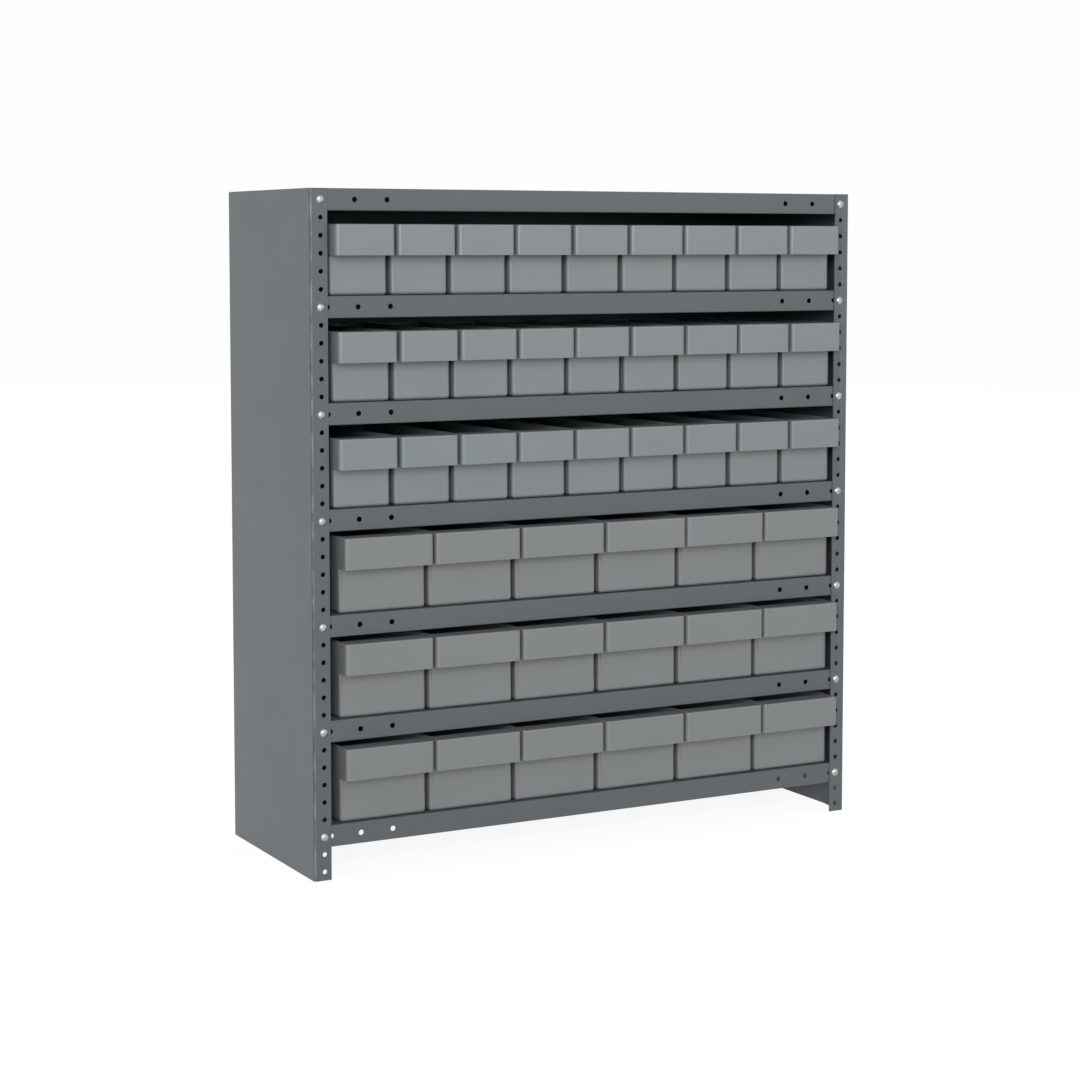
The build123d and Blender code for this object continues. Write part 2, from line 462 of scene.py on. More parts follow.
class Graph:
    """The nodes and links of one material, world or node group."""

    spacing = 180  # between the nodes as they are laid out

    def __init__(self, tree: bpy.types.NodeTree) -> None:
        """Empty the tree.

        Args:
            tree: the node tree to fill.
        """
        self.tree = tree
        self.tree.nodes.clear()
        self.column = 0

    def add(self, kind: str, inputs: dict[str | int, Any] | None = None,
            **settings: Any) -> bpy.types.Node:
        """Add one node.

        Args:
            kind: the node's type.
            inputs: values or output sockets for its inputs, by name, or by number where names repeat.
            **settings: the node's own settings.

        Returns:
            The node.
        """
        node = self.tree.nodes.new(kind)
        node.location = (self.column * self.spacing, 0)
        self.column += 1
        for name, value in settings.items():
            setattr(node, name, value)
        for name, value in (inputs or {}).items():
            socket = node.inputs[name]
            if isinstance(value, bpy.types.NodeSocket):
                self.tree.links.new(value, socket)
            else:
                socket.default_value = value
        return node

    def effect(self, group: bpy.types.NodeTree, inputs: dict[str, Any]) -> bpy.types.NodeSocket:
        """The output of a node group placed here with these inputs."""
        return self.add("ShaderNodeGroup", inputs, node_tree=group).outputs[0]

    def noise(self, place: bpy.types.NodeSocket, scale: Any, detail: float) -> bpy.types.NodeSocket:
        """A noise value over the surface."""
        inputs = {"Vector": place, "Scale": scale, "Detail": detail}
        return self.add("ShaderNodeTexNoise", inputs).outputs["Fac"]

    def ramp(self, value: bpy.types.NodeSocket, source: tuple[float, float],
             target: tuple[float, float]) -> bpy.types.NodeSocket:
        """Take a value from one range to another, and keep it within that.

        Args:
            value: the value.
            source: low and high end of the range that it comes from.
            target: what they become.

        Returns:
            The new value.
        """
        names = ("From Min", "From Max", "To Min", "To Max")
        node = self.add("ShaderNodeMapRange", {"Value": value, **dict(zip(names, (*source, *target)))})
        return node.outputs["Result"]

    def combine(self, operation: str, first: Any, second: Any) -> bpy.types.NodeSocket:
        """One value made of two by the operation of a Math node."""
        return self.add("ShaderNodeMath", {0: first, 1: second}, operation=operation).outputs[0]

    def mix(self, factor: Any, first: Any, second: Any) -> bpy.types.NodeSocket:
        """A colour between two colours."""
        # A Mix node has sockets for each type of data, and these are its colour ones.
        return self.add("ShaderNodeMix", {0: factor, 6: first, 7: second}, data_type="RGBA").outputs[2]

    def mix_shaders(self, factor: Any, first: Any, second: Any) -> bpy.types.NodeSocket:
        """A shader between two shaders."""
        return self.add("ShaderNodeMixShader", {0: factor, 1: first, 2: second}).outputs[0]


def new_group(name: str, inputs: dict[str, tuple[str, Any]],
              output: tuple[str, str]) -> tuple[bpy.types.NodeTree, Graph, Any]:
    """Make an empty shader node group.

    Args:
        name: the group's name.
        inputs: socket type and default value of each input, by name.
        output: name and socket type of its output.

    Returns:
        The group, what fills it, and its inputs as they arrive inside.
    """
    group = bpy.data.node_groups.new(name, "ShaderNodeTree")
    for label, (kind, value) in inputs.items():
        socket = group.interface.new_socket(name=label, in_out="INPUT", socket_type=kind)
        if value is not None:
            socket.default_value = value
    group.interface.new_socket(name=output[0], in_out="OUTPUT", socket_type=output[1])
    graph = Graph(group)
    return group, graph, graph.add("NodeGroupInput").outputs


class Effects:
    """Node groups that more than one finish uses, each built once."""

    def __init__(self) -> None:
        """Build the groups."""
        self.mottle = self.build_mottle()
        self.grain = self.build_grain()
        self.edge_wear_and_highlight = self.build_edge_wear_and_highlight()

    @staticmethod
    def build_mottle() -> bpy.types.NodeTree:
        """A colour that is a little lighter and darker in clouds.

        Returns:
            The group.
        """
        group, graph, given = new_group(
            "mottle",
            {
                "Color": ("NodeSocketColor", grey(0.2)),
                "Place": ("NodeSocketVector", None),
                "Clouds": ("NodeSocketFloat", 6.0),
                "Amount": ("NodeSocketFloat", 0.05),
            },
            ("Color", "NodeSocketColor"),
        )
        clouds = graph.noise(given["Place"], given["Clouds"], detail=4.0)
        change = graph.combine("MULTIPLY", graph.ramp(clouds, NOISE_RANGE, (-1.0, 1.0)), given["Amount"])
        level = graph.combine("ADD", change, 1.0)
        tone = graph.add("ShaderNodeHueSaturation", {"Color": given["Color"], "Value": level})
        graph.add("NodeGroupOutput", {"Color": tone.outputs["Color"]})
        return group

    @staticmethod
    def build_grain() -> bpy.types.NodeTree:
        """Height of a fine skin, such as orange peel or a moulded texture, on slow waves.

        Returns:
            The group.
        """
        group, graph, given = new_group(
            "grain",
            {
                "Place": ("NodeSocketVector", None),
                "Scale": ("NodeSocketFloat", 400.0),
                "Depth": ("NodeSocketFloat", 0.02),
                "Wave Scale": ("NodeSocketFloat", 4.0),
                "Wave Depth": ("NodeSocketFloat", 0.2),
            },
            ("Height", "NodeSocketFloat"),
        )
        skin = graph.noise(given["Place"], given["Scale"], detail=1.5)
        waves = graph.noise(given["Place"], given["Wave Scale"], detail=1.0)
        fine = graph.combine("MULTIPLY", skin, given["Depth"])
        slow = graph.combine("MULTIPLY", waves, given["Wave Depth"])
        graph.add("NodeGroupOutput", {"Height": graph.combine("ADD", fine, slow)})
        return group

    @staticmethod
    def build_edge_wear_and_highlight() -> bpy.types.NodeTree:
        """Mask of the patches of edge that are painted lighter, partly as wear from handling and partly
        as a painted highlight, and as a painted highlight of the bend on the post's fold.

        Returns:
            The group.
        """
        group, graph, given = new_group(
            "edge_wear_and_highlight",
            {
                "Place": ("NodeSocketVector", None),
                "Scale": ("NodeSocketFloat", 60.0),
                "Spread": ("NodeSocketFloat", 0.5),
            },
            ("Mask", "NodeSocketFloat"),
        )
        edge = graph.add("ShaderNodeAttribute", attribute_name=WEAR_AND_HIGHLIGHT)
        spots = graph.noise(given["Place"], given["Scale"], detail=5.0)
        patches = graph.combine("MULTIPLY", graph.ramp(spots, PATCH_RANGE, (0.0, 1.0)), given["Spread"])
        graph.add("NodeGroupOutput", {"Mask": graph.combine("MULTIPLY", edge.outputs["Fac"], patches)})
        return group


@dataclass(frozen=True)
class Finish:
    """A surface finish. Colours are linear, depths are in millimetres and scales are per metre."""

    name: str
    color: tuple[float, float, float]
    mottling: float
    cloud_scale: float
    roughness: tuple[float, float]
    smudge_scale: float
    grain_scale: float
    grain_depth: float
    wave_scale: float
    wave_depth: float
    # the lighter colour of the edge patches: partly wear, partly a painted highlight
    wear_and_highlight_color: tuple[float, float, float]
    wear_and_highlight_scale: float
    wear_and_highlight_spread: float
    metallic: float = 0.0
    ior: float = 1.5
    specular: float = 0.5

    def material(self, effects: Effects) -> bpy.types.Material:
        """Build the material.

        Args:
            effects: the shared node groups.

        Returns:
            The material.
        """
        made = bpy.data.materials.new(self.name)
        made.use_nodes = True
        graph = Graph(made.node_tree)
        place = graph.add("ShaderNodeTexCoord").outputs["Object"]
        tone = graph.effect(effects.mottle, {
            "Color": (*self.color, 1.0), "Place": place,
            "Clouds": self.cloud_scale, "Amount": self.mottling,
        })
        wear_and_highlight_mask = graph.effect(effects.edge_wear_and_highlight, {
            "Place": place, "Scale": self.wear_and_highlight_scale, "Spread": self.wear_and_highlight_spread,
        })
        # Edge patches are painted lighter: partly wear, partly a painted highlight; on the post's fold,
        # a painted highlight of the bend.
        color = graph.mix(wear_and_highlight_mask, tone, (*self.wear_and_highlight_color, 1.0))
        smudges = graph.noise(place, self.smudge_scale, detail=6.0)
        skin = graph.effect(effects.grain, {
            "Place": place, "Scale": self.grain_scale, "Depth": self.grain_depth * MM,
            "Wave Scale": self.wave_scale, "Wave Depth": self.wave_depth * MM,
        })
        bump = graph.add("ShaderNodeBump", {"Height": skin, "Distance": 1.0, "Strength": 1.0})
        shader = graph.add(
            "ShaderNodeBsdfPrincipled",
            {
                "Base Color": color,
                "Roughness": graph.ramp(smudges, NOISE_RANGE, self.roughness),
                "Normal": bump.outputs["Normal"],
                "Metallic": self.metallic,
                "IOR": self.ior,
                "Specular IOR Level": self.specular,
            },
        )
        graph.add("ShaderNodeOutputMaterial", {"Surface": shader.outputs["BSDF"]})
        return made


# Each finish's edge colour is lighter than its own colour: partly wear, partly a painted highlight.
BAKED_ENAMEL = Finish(
    name="baked_enamel", color=(0.109, 0.126, 0.135), mottling=0.03, cloud_scale=7.0,
    roughness=(0.30, 0.36), smudge_scale=11.0, grain_scale=420.0, grain_depth=0.012,
    wave_scale=5.0, wave_depth=0.25, wear_and_highlight_color=(0.21, 0.235, 0.245), wear_and_highlight_scale=45.0, wear_and_highlight_spread=0.7,
    specular=0.3,
)
SMALL_BIN_PLASTIC = Finish(
    name="small_bin_plastic", color=(0.189, 0.214, 0.216), mottling=0.02, cloud_scale=12.0,
    roughness=(0.30, 0.36), smudge_scale=18.0, grain_scale=1500.0, grain_depth=0.008,
    wave_scale=14.0, wave_depth=0.05, wear_and_highlight_color=(0.30, 0.325, 0.33), wear_and_highlight_scale=60.0, wear_and_highlight_spread=0.5,
    specular=0.7,
)
LARGE_BIN_PLASTIC = Finish(
    name="large_bin_plastic", color=(0.184, 0.196, 0.200), mottling=0.02, cloud_scale=10.0,
    roughness=(0.31, 0.38), smudge_scale=16.0, grain_scale=1500.0, grain_depth=0.008,
    wave_scale=11.0, wave_depth=0.05, wear_and_highlight_color=(0.27, 0.285, 0.29), wear_and_highlight_scale=55.0, wear_and_highlight_spread=0.4,
    specular=0.7,
)
ZINC_PLATE = Finish(
    name="zinc_plate", color=(0.42, 0.432, 0.432), mottling=0.15, cloud_scale=160.0,
    roughness=(0.28, 0.40), smudge_scale=420.0, grain_scale=1800.0, grain_depth=0.006,
    wave_scale=220.0, wave_depth=0.02, wear_and_highlight_color=(0.66, 0.67, 0.67), wear_and_highlight_scale=300.0, wear_and_highlight_spread=0.6,
    metallic=1.0,
)


# The unit's pieces


@dataclass
class PerforatedPost:
    """An angle post with a column of holes in each leg."""

    sheet: float = 1.9
    bend_radius: float = 2.95
    bend_segments: int = 6
    hole_diameter: float = 7.1
    hole_sides: int = 20
    hole_pitch: float = 25.4
    first_hole: float = 12.7
    column_inset: float = 15.7  # outside of the side leg to the face leg's holes
    side_column_inset: float = 22.0  # outside of the face leg to the side leg's holes
    edge_radius: float = 0.25
    fold_lean: float = 0.2  # least lean of a face of the fold towards both outsides
    # how strongly the fold is painted lighter: a painted highlight of the bend
    fold_highlight: float = 1.5

    def build(self) -> bpy.types.Object:
        """Model the front left post.

        Returns:
            The finished post.
        """
        low, high = cad_box("post_front_left")
        post = add_sheet("front_post_left", (low.x, low.y, low.z), (high.x, low.y, high.z))
        with editing(post):
            pick_edges(lambda a, b: near(a.x, low.x) and near(b.x, low.x))
            pull(y=high.y - low.y)
            pick_edges(lambda a, b: all(near(p.x, low.x) and near(p.y, low.y) for p in (a, b)))
            round_edges(self.bend_radius, self.bend_segments)
        face_outwards(post, (-1, -1, 0))
        thicken(post, self.sheet)
        carve(post, self.punches(low, high))
        soften(post, self.edge_radius)
        # The outside of the fold gets a painted highlight.
        self.paint_fold_highlight(post)
        return post

    def paint_fold_highlight(self, post: bpy.types.Object) -> None:
        """Mark the outside of the fold for a lighter colour, a painted highlight where the bend catches
        the light.

        Args:
            post: the front left post.
        """
        for face, mark in zip(post.data.polygons, post.data.attributes[WEAR_AND_HIGHLIGHT].data):
            if face.normal.x < -self.fold_lean and face.normal.y < -self.fold_lean:
                mark.value = self.fold_highlight

    def punches(self, low: Vector, high: Vector) -> list[bpy.types.Object]:
        """Round bars through both legs, one for each hole.

        Args:
            low: the post's lowest corner, in millimetres.
            high: its highest corner.

        Returns:
            The bars.
        """
        count = int((high.z - self.first_hole) / self.hole_pitch) + 1
        levels = [self.first_hole + self.hole_pitch * i for i in range(count)]
        columns = (
            (Axis.Y, low.x + self.column_inset, low.y + self.sheet / 2),
            (Axis.X, low.x + self.sheet / 2, low.y + self.side_column_inset),
        )
        length = 4 * self.sheet
        return [
            add_bar("punch", self.hole_diameter / 2, length, (x, y, z), axis, self.hole_sides)
            for axis, x, y in columns
            for z in levels
        ]


@dataclass
class Rack:
    """Posts and panels: the rack without its shelves and fasteners."""

    post: PerforatedPost = field(default_factory=PerforatedPost)
    panel_sheet: float = 0.8
    panel_corner: float = 1.5
    corner_segments: int = 4
    panel_edge: float = 0.2
    back_hole: float = 7.1
    punch_length: float = 6.0
    hole_sides: int = 20

    def build(self, enamel: bpy.types.Material) -> None:
        """Make and dress the posts and panels.

        Args:
            enamel: the paint of every sheet.
        """
        left = self.post.build()
        front, back = cad_box("post_front_left")[0].y, cad_box("rear_posts")[1].y
        right = mirror_copy(left, "front_post_right", Axis.X, 0.0)
        rear = [mirror_copy(post, "rear_post", Axis.Y, (front + back) / 2) for post in (left, right)]
        hand_over(left, "post_front_left", enamel)
        hand_over(right, "post_front_right", enamel)
        hand_over(join(rear, "rear_post_pair"), "rear_posts", enamel)
        for side in Side:
            node = f"side_panel_{side.name.lower()}"
            hand_over(self.side_panel(side, node), node, enamel)
        hand_over(self.back_panel(), "back_panel", enamel)

    def side_panel(self, side: Side, node: str) -> bpy.types.Object:
        """A plain side sheet with its four corners rounded.

        Args:
            side: the side that it closes.
            node: its CAD node.

        Returns:
            The finished panel.
        """
        low, high = cad_box(node)
        outer = low.x if side is Side.LEFT else high.x
        name = f"side_sheet_{side.name.lower()}"
        panel = add_sheet(name, (outer, low.y, low.z), (outer, high.y, high.z))
        self.round_corners()
        face_outwards(panel, (side.value, 0, 0))
        thicken(panel, self.panel_sheet)
        soften(panel, self.panel_edge)
        return panel

    def back_panel(self) -> bpy.types.Object:
        """The back sheet, with a hole for each rear bolt.

        Returns:
            The finished panel.
        """
        low, high = cad_box("back_panel")
        panel = add_sheet("back_sheet", (low.x, high.y, low.z), (high.x, high.y, high.z))
        self.round_corners()
        face_outwards(panel, (0, 1, 0))
        thicken(panel, self.panel_sheet)
        column = cad_box("post_front_right")[1].x - self.post.column_inset
        carve(panel, [
            add_bar("punch", self.back_hole / 2, self.punch_length, (side.value * column, high.y, level),
                    Axis.Y, self.hole_sides)
            for side in Side
            for level in bolt_levels()
        ])
        soften(panel, self.panel_edge)
        return panel

    def round_corners(self) -> None:
        """Round the four corners of the flat sheet that was just added."""
        with editing(bpy.context.object):
            bpy.ops.mesh.select_all(action="SELECT")
            bpy.ops.mesh.bevel(
                offset=self.panel_corner * MM, segments=self.corner_segments, affect="VERTICES"
            )


@dataclass
class FoldedShelf:
    """A box shelf folded from one sheet, with holes in its front and rear flanges."""

    sheet: float = 0.9
    return_lip: float = 11.0
    relief: float = 3.0
    fold_radius: float = 1.6
    fold_segments: int = 4
    hole_column: float = 447.0
    hole_sides: int = 24
    bolt_hole: float = 7.1
    free_hole: float = 7.9
    free_steps: tuple[float, ...] = (58.0, 108.8)  # from the bolt's hole to the free ones
    top_free_steps: tuple[float, ...] = (53.3, 104.1)  # the same on the top shelf
    lap_step: float = 11.2  # to the hole that the post half covers
    edge_radius: float = 0.15

    def build(self, enamel: bpy.types.Material) -> None:
        """Make and dress every shelf.

        Args:
            enamel: the paint.
        """
        top, second, *others = SHELVES
        top_shelf = self.shelf(top, is_top=True)
        model = self.shelf(second, is_top=False)
        hand_over(top_shelf, top, enamel)
        level = cad_box(second)[1].z
        for node in others:
            twin = copy_to(model, f"box_{node}", (0, 0, cad_box(node)[1].z - level))
            hand_over(twin, node, enamel)
        hand_over(model, second, enamel)

    def shelf(self, node: str, is_top: bool) -> bpy.types.Object:
        """Fold one shelf in its place.

        Args:
            node: its CAD node.
            is_top: whether it is the top shelf, which has no half covered hole.

        Returns:
            The finished shelf.
        """
        low, high = cad_box(node)
        drop = low.z - high.z
        slot = self.sheet + self.relief
        shelf = add_sheet(f"box_{node}", (low.x, low.y, high.z), (high.x, high.y, high.z))
        with editing(shelf):
            slice_across(Axis.Y, low.y + slot)
            slice_across(Axis.Y, high.y - slot)
            for edge, inward in ((low.y, 1), (high.y, -1)):
                pick_edges(lambda a, b: near(a.y, edge) and near(b.y, edge))
                pull(z=drop)
                pull(y=inward * self.return_lip)
            for edge in (low.x, high.x):
                pick_edges(lambda a, b: near(a.x, edge) and near(b.x, edge) and near(a.z, high.z)
                           and near(b.z, high.z) and low.y + slot < (a.y + b.y) / 2 < high.y - slot)
                pull(z=drop)
            pick_edges(lambda a, b: self.is_fold(a, b, low, high))
            round_edges(self.fold_radius, self.fold_segments)
        face_outwards(shelf, (0, 0, 1))
        thicken(shelf, self.sheet)
        carve(shelf, self.punches(low, high, is_top))
        soften(shelf, self.edge_radius)
        return shelf

    @staticmethod
    def is_fold(a: Vector, b: Vector, low: Vector, high: Vector) -> bool:
        """Whether an edge is a fold along the front or the rear."""
        along = near(a.y, b.y) and near(a.z, b.z) and not near(a.x, b.x)
        return along and (near(a.y, low.y) or near(a.y, high.y))

    def punches(self, low: Vector, high: Vector, is_top: bool) -> list[bpy.types.Object]:
        """Round bars through the flanges, one for each hole.

        Args:
            low: the shelf's lowest corner, in millimetres.
            high: its highest corner.
            is_top: whether it is the top shelf.

        Returns:
            The bars.
        """
        free = self.top_free_steps if is_top else self.free_steps
        bolts = (0.0,) if is_top else (0.0, self.lap_step)
        holes = [(low.y, step, self.bolt_hole) for step in bolts]
        holes += [(low.y, step, self.free_hole) for step in free]
        holes += [(high.y, 0.0, self.bolt_hole), (high.y, free[0], self.free_hole)]
        middle = (low.z + high.z) / 2
        length = 6 * self.sheet
        return [
            add_bar("punch", bore / 2, length, (side.value * (self.hole_column - step), y, middle),
                    Axis.Y, self.hole_sides)
            for side in Side
            for y, step, bore in holes
        ]


@dataclass
class Fasteners:
    """The bolts and nuts that hold every corner of every shelf."""

    head_radius: float = 6.15
    head_height: float = 3.3
    head_segments: int = 24
    shank_radius: float = 3.1
    thread_root: float = 2.75
    thread_pitch: float = 1.27
    shank_length: float = 12.7
    recess_length: float = 5.6
    recess_width: float = 1.1
    recess_depth: float = 1.5
    recess_clearance: float = 1.0  # how far the recess's cutter stands over the head
    nut_flats: float = 11.1
    nut_height: float = 5.5
    nut_bore: float = 3.275
    bore_sides: int = 16
    chamfer_sides: int = 24
    chamfer_bite: float = 0.15  # how far the chamfer reaches into the flats
    edge_radius: float = 0.12
    bolt_sharp: float = 40.0  # least angle of an edge that is rounded, in degrees
    nut_sharp: float = 25.0
    column: float = 447.0
    plate: float = 0.9
    seed: int = 11

    def build(self, zinc: bpy.types.Material) -> None:
        """Make and dress all bolts as one piece and all nuts as another.

        Args:
            zinc: the plating.
        """
        spin = random.Random(self.seed)
        levels = bolt_levels()
        outer = cad_box("post_front_left")[0].y, cad_box("rear_posts")[1].y
        low, high = cad_box(SHELVES[0])
        inner = low.y + self.plate, high.y - self.plate
        for maker, seats, name, node in (
            (self.bolt, outer, "bolt_set", "shelf_bolts"),
            (self.nut, inner, "nut_set", "shelf_nuts"),
        ):
            model = maker()
            copies = [
                self.place(model, (side.value * self.column, seat, level), turn, spin)
                for side in Side
                for level in levels
                for seat, turn in zip(seats, (0.0, 180.0))
            ]
            bpy.data.objects.remove(model)
            hand_over(join(copies, name), node, zinc)

    @staticmethod
    def place(model: bpy.types.Object, seat: Sequence[float], turn: float,
              spin: random.Random) -> bpy.types.Object:
        """Copy a fastener to its hole, turned to a chance angle about its axis.

        Args:
            model: the fastener, its seat at the origin.
            seat: where the copy sits, in millimetres.
            turn: 180 where it faces the rear.
            spin: the source of the chance angles.

        Returns:
            The copy.
        """
        chance = Matrix.Rotation(spin.uniform(0, math.pi), 4, "Y")
        return copy_to(model, "fastener", seat, Matrix.Rotation(math.radians(turn), 4, "Z") @ chance)

    def bolt(self) -> bpy.types.Object:
        """A low round head with a crossed recess, and a threaded shank along +Y.

        Returns:
            The bolt, its seat at the origin.
        """
        crown = (self.head_radius**2 + self.head_height**2) / (2 * self.head_height)
        segments = self.head_segments
        bpy.ops.mesh.primitive_uv_sphere_add(segments=segments, ring_count=segments, radius=crown * MM)
        bolt = settle("bolt")
        seat = crown - self.head_height
        with editing(bolt):
            bpy.ops.mesh.select_all(action="SELECT")
            bpy.ops.mesh.bisect(
                plane_co=(0, 0, seat * MM), plane_no=(0, 0, 1), clear_inner=True, use_fill=True
            )
            pick_faces(lambda centre, normal: normal.z < -FACING and near(centre.z, seat))
            bpy.ops.mesh.inset(thickness=(self.head_radius - self.shank_radius) * MM)
            self.pull_thread()
        carve(bolt, [self.recess(crown)])
        soften(bolt, self.edge_radius, 1, self.bolt_sharp)
        drop = Matrix.Translation((0, 0, -seat * MM))
        bolt.matrix_world = Matrix.Rotation(math.radians(90), 4, "X") @ drop
        freeze(bolt)
        return bolt

    def pull_thread(self) -> None:
        """Pull the selected round face down into a ridged shank, half a turn at a time."""
        radius = self.shank_radius
        for step in range(int(2 * self.shank_length / self.thread_pitch)):
            goal = self.thread_root if step % 2 == 0 else self.shank_radius
            pull(z=-self.thread_pitch / 2)
            bpy.ops.transform.resize(value=(goal / radius, goal / radius, 1), center_override=(0, 0, 0))
            radius = goal

    def recess(self, crown: float) -> bpy.types.Object:
        """The cutter of the crossed recess.

        Args:
            crown: the height of the head's top, in millimetres.

        Returns:
            Two crossing blocks in one.
        """
        length, width = self.recess_length / 2, self.recess_width / 2
        floor, top = crown - self.recess_depth, crown + self.recess_clearance
        slot = add_block("slot", (-length, -width, floor), (length, width, top))
        cross = add_block("cross_slot", (-width, -length, floor), (width, length, top))
        carve(slot, [cross], Carving.ADD)
        return slot

    def nut(self) -> bpy.types.Object:
        """A hexagon nut with chamfered corners, its body along +Y.

        Returns:
            The nut, its seat at the origin.
        """
        corner = self.nut_flats / 2 / math.cos(math.pi / 6)
        centre = (0, self.nut_height / 2, 0)
        nut = add_bar("nut", corner, self.nut_height, centre, Axis.Y, 6)
        turned = add_bar("turned", corner, self.nut_height, centre, Axis.Y, self.chamfer_sides)
        with editing(turned):
            pick_edges(lambda a, b: near(a.y, b.y))
            round_edges(corner - self.nut_flats / 2 + self.chamfer_bite, 1)
        carve(nut, [turned], Carving.KEEP)
        bore = add_bar("bore", self.nut_bore, 3 * self.nut_height, centre, Axis.Y, self.bore_sides)
        carve(nut, [bore])
        soften(nut, self.edge_radius, 1, self.nut_sharp)
        return nut


@dataclass
class PullOutBin:
    """A moulded bin with a stepped-out hood, one kind of it."""

    kind: BinKind
    first_row: int
    last_row: int
    columns: int
    height: float
    hood_height: float
    seed: int
    hood_depth: float = 28.0
    hood_overlap: float = 12.0
    cheek: float = 1.2
    wall: float = 2.0
    body_corner: float = 5.0
    body_segments: int = 4
    hood_corner: float = 6.0
    hood_segments: int = 5
    hood_rim: float = 2.4
    rim_segments: int = 2
    cutter_clearance: float = 5.0  # how far the cutter of the hood's opening stands over it
    edge_radius: float = 0.4
    play: float = 0.35  # about how far a bin stands off its place in the row

    def build(self, plastic: bpy.types.Material) -> None:
        """Make and dress every bin of this kind, each riding on its own body.

        Args:
            plastic: the moulded plastic.
        """
        nodes = [
            f"bin_{self.kind.value}_r{row}_c{column}"
            for row in range(self.first_row, self.last_row + 1)
            for column in range(1, self.columns + 1)
        ]
        low, high = cad_box(nodes[0])
        model = self.shell(high.x - low.x, high.y - low.y)
        chance = random.Random(self.seed)
        for node in nodes:
            low, high = cad_box(node)
            across = chance.uniform(-self.play, self.play)
            along = chance.uniform(-2 * self.play, self.play)
            place = ((low.x + high.x) / 2 + across, low.y + self.hood_depth + along + self.play, low.z)
            twin = copy_to(model, node.replace("bin_", "tray_"), place)
            hand_over(twin, node, plastic, node)
        bpy.data.objects.remove(model)

    def shell(self, hood_width: float, length: float) -> bpy.types.Object:
        """Mould one bin with the foot of its lower front at the origin.

        Args:
            hood_width: over the hood.
            length: front of the hood to the rear.

        Returns:
            The finished bin.
        """
        side = hood_width / 2 - self.cheek
        end = length - self.hood_depth
        body = add_block(f"{self.kind.value}_bin", (-side, 0, 0), (side, end, self.height))
        with editing(body):
            pick_faces(lambda centre, normal: normal.z > FACING)
            bpy.ops.mesh.delete(type="FACE")
            pick_edges(lambda a, b: self.is_body_corner(a, b, end))
            round_edges(self.body_corner, self.body_segments)
        face_outwards(body, (0, 0, -1))
        thicken(body, self.wall)
        soften(body, self.edge_radius)
        carve(body, [self.hood(hood_width, side - self.wall)], Carving.ADD)
        shade(body)
        return body

    def hood(self, width: float, inner: float) -> bpy.types.Object:
        """The stepped-out hood: closed on top, hollow from below, with cheeks along the body.

        Args:
            width: over the hood.
            inner: half the width between the body's walls.

        Returns:
            The hood, in its place over the top of the body's front.
        """
        foot = self.height - self.hood_height
        low, high = (-width / 2, -self.hood_depth, foot), (width / 2, self.hood_overlap, self.height)
        hood = add_block("hood", low, high)
        with editing(hood):
            pick_faces(lambda centre, normal: normal.z < -FACING or normal.y > FACING)
            bpy.ops.mesh.delete(type="FACE")
            pick_edges(lambda a, b: near(a.y, low[1]) and near(b.y, low[1]) and near(a.x, b.x))
            round_edges(self.hood_corner, self.hood_segments)
            pick_edges(lambda a, b: near(a.z, self.height) and near(b.z, self.height)
                       and not (near(a.y, high[1]) and near(b.y, high[1])))
            round_edges(self.hood_rim, self.rim_segments)
        face_outwards(hood, (0, -1, 1))
        thicken(hood, self.wall)
        lip = self.wall / 2  # the top ends inside the body's front wall
        back, top = high[1] + self.wall, self.height + self.cutter_clearance
        carve(hood, [add_block("opening", (-inner, lip, foot), (inner, back, top))])
        soften(hood, self.edge_radius)
        return hood

    @staticmethod
    def is_body_corner(a: Vector, b: Vector, end: float) -> bool:
        """Whether an edge is an upright corner of the body or round its bottom."""
        upright = near(a.x, b.x) and near(a.y, b.y) and (near(a.y, 0.0) or near(a.y, end))
        return upright or (near(a.z, 0.0) and near(b.z, 0.0))


SMALL_BINS = PullOutBin(
    BinKind.SMALL, first_row=1, last_row=3, columns=9, height=101.6, hood_height=44.5, seed=5
)
LARGE_BINS = PullOutBin(
    BinKind.LARGE, first_row=4, last_row=6, columns=6, height=112.0, hood_height=46.0, seed=8
)


# The studio


@dataclass(frozen=True)
class Lamp:
    """One soft square lamp, in metres and watts."""

    name: str
    place: tuple[float, float, float]
    size: float
    power: float
    aim: tuple[float, float, float] = (0.0, 0.0, 0.5)  # about the middle of the unit

    def hang(self) -> None:
        """Add the lamp, looking at its aim."""
        data = bpy.data.lights.new(self.name, "AREA")
        data.size, data.energy = self.size, self.power
        lamp = bpy.data.objects.new(self.name, data)
        lamp.location = self.place
        lamp.rotation_euler = (Vector(self.aim) - Vector(self.place)).to_track_quat("-Z", "Y").to_euler()
        bpy.context.scene.collection.objects.link(lamp)


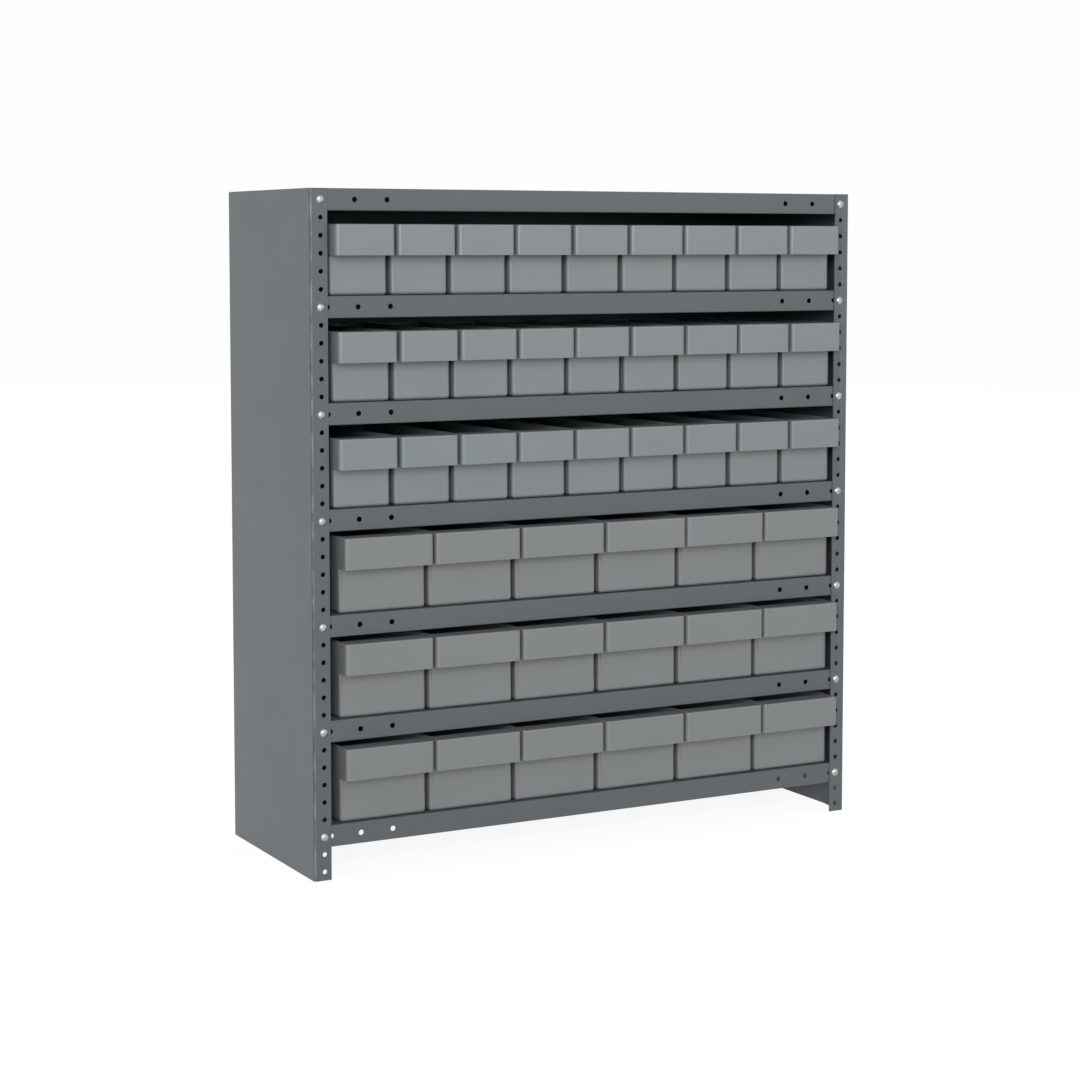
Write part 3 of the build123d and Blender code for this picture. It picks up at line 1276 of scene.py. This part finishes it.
@dataclass
class Studio:
    """Camera, lamps, floor and surroundings."""

    eye: tuple[float, float, float] = (-1772.62, -3258.16, 913.91)  # mm
    yaw: float = 0.49494  # radians towards +X
    pitch: float = -0.07866  # radians upwards
    focal_length: float = 79.2317  # mm
    sensor: float = 36.0  # mm
    rise: float = -0.1  # the camera's upward shift, in picture widths
    key: Lamp = Lamp("key", (-7.2, -6.6, 2.4), 3.0, 145.0)
    front: Lamp = Lamp("front", (-4.2, -7.8, 3.2), 3.0, 345.0)
    fill: Lamp = Lamp("fill", (4.5, -7.0, 3.5), 5.0, 92.0)
    back: Lamp = Lamp("back", (6.5, 5.5, 6.0), 8.0, 300.0)
    ambient: float = 0.34
    white: float = 0.99  # the surroundings as the camera and shiny surfaces see them
    floor_size: float = 30.0  # m
    floor_tone: float = 0.86
    floor_share: float = 0.78  # share of the floor that glows there and takes no shadow
    floor_glow: float = 1.17  # what makes the lit floor as white as the surroundings

    def set_camera(self) -> None:
        """Put the camera where the photograph was taken from."""
        data = bpy.data.cameras.new("camera")
        data.lens, data.sensor_width, data.shift_y = self.focal_length, self.sensor, self.rise
        camera = bpy.data.objects.new("camera", data)
        camera.location = Vector(self.eye) * MM
        camera.rotation_euler = (math.pi / 2 + self.pitch, 0.0, -self.yaw)
        bpy.context.scene.collection.objects.link(camera)
        bpy.context.scene.camera = camera

    def light(self) -> None:
        """Set the lamps, the surroundings and the colour transform."""
        for lamp in (self.key, self.front, self.fill, self.back):
            lamp.hang()
        world = bpy.data.worlds.new("surroundings")
        bpy.context.scene.world = world
        world.use_nodes = True
        graph = Graph(world.node_tree)
        dim = graph.add("ShaderNodeBackground", {"Color": grey(1.0), "Strength": self.ambient})
        white = graph.add("ShaderNodeBackground", {"Color": grey(1.0), "Strength": self.white})
        mixed = graph.mix_shaders(self.seen(graph), dim.outputs[0], white.outputs[0])
        graph.add("ShaderNodeOutputWorld", {"Surface": mixed})
        bpy.context.scene.view_settings.view_transform = "Standard"

    @staticmethod
    def seen(graph: Graph) -> bpy.types.NodeSocket:
        """Tell what is seen from what only lights the unit.

        Args:
            graph: the nodes of the world or the floor.

        Returns:
            1 for the camera, straight or in a reflection or through glass, and 0 for the light.
        """
        rays = graph.add("ShaderNodeLightPath").outputs
        seen = rays["Is Camera Ray"]
        for other in ("Is Glossy Ray", "Is Transmission Ray"):
            seen = graph.combine("MAXIMUM", seen, rays[other])
        return seen

    def floor(self) -> None:
        """Lay a pale floor that shows white to the camera and keeps the unit's shadow."""
        bpy.ops.mesh.primitive_plane_add(size=self.floor_size, location=(0, 0, 0))
        floor = settle("floor")
        material = bpy.data.materials.new("white_floor")
        material.use_nodes = True
        graph = Graph(material.node_tree)
        matt = graph.add("ShaderNodeBsdfDiffuse", {"Color": grey(self.floor_tone)})
        glow = graph.add("ShaderNodeEmission", {"Color": grey(1.0), "Strength": self.floor_glow})
        share = graph.combine("MULTIPLY", self.seen(graph), self.floor_share)
        mixed = graph.mix_shaders(share, matt.outputs[0], glow.outputs[0])
        graph.add("ShaderNodeOutputMaterial", {"Surface": mixed})
        floor.data.materials.append(material)


def main() -> None:
    """Build the studio, the finishes and every piece, in order."""
    logging.basicConfig(level=logging.INFO, format="%(message)s", stream=sys.stdout)
    bpy.ops.object.select_all(action="DESELECT")
    studio = Studio()
    studio.set_camera()
    effects = Effects()
    enamel = BAKED_ENAMEL.material(effects)
    Rack().build(enamel)
    FoldedShelf().build(enamel)
    Fasteners().build(ZINC_PLATE.material(effects))
    SMALL_BINS.build(SMALL_BIN_PLASTIC.material(effects))
    LARGE_BINS.build(LARGE_BIN_PLASTIC.material(effects))
    studio.floor()
    studio.light()


if __name__ == "__main__":
    main()
